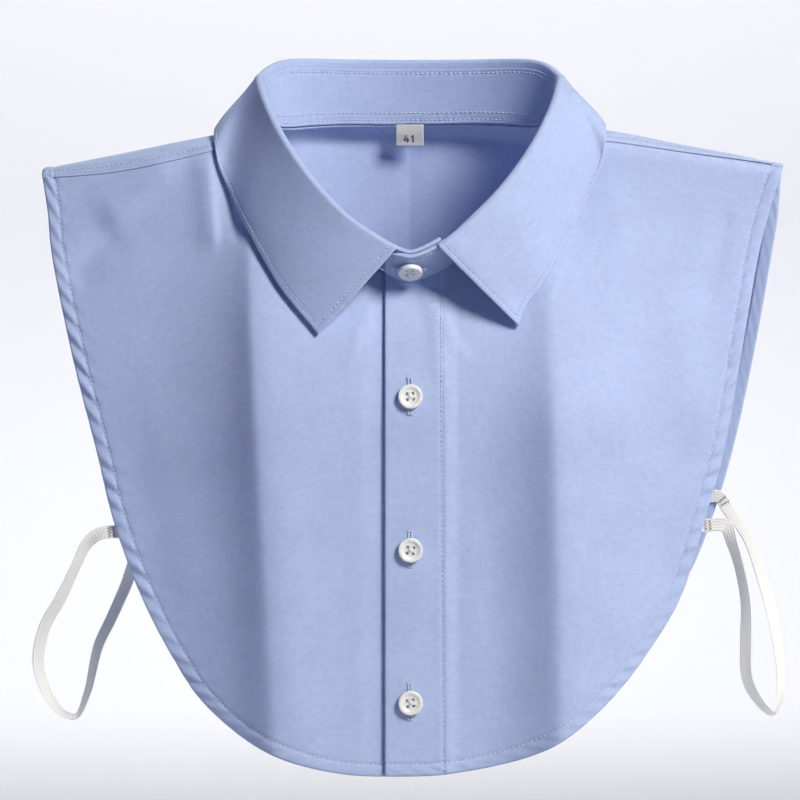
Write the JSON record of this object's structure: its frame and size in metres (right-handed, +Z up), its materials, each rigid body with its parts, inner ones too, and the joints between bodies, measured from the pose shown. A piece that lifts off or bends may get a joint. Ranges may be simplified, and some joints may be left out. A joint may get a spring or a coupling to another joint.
{
  "type": "shirt-front dickey",
  "caption": "Light blue shirt-front dickey with a folded point collar, buttoned placket, rounded front and back panels and elastic side loops.",
  "frame": {"origin": "middle of the neck opening, level with the lower side of the collar seen from the front, where the neck holds the collar", "axes": "+Z up, front faces -Y, +X to the right seen from the front"},
  "size_m": [0.3579, 0.1237, 0.3388],
  "materials": {
    "chambray": "light blue woven cotton, matte, with fine white flecks",
    "button": "pearly white resin, polished",
    "label": "pale grey woven tape",
    "elastic": "off-white ribbed elastic tape"
  },
  "bodies": {
    "root": {"front_panel_placket": "chambray", "front_panel_underlap": "chambray", "back_panel": "chambray", "collar_stand": "chambray", "collar_leaf": "chambray", "collar_button": "button", "front_button_1": "button", "front_button_2": "button", "front_button_3": "button", "size_label": "label", "elastic_strap_left": "elastic", "elastic_strap_right": "elastic"}
  },
  "joints": []
}
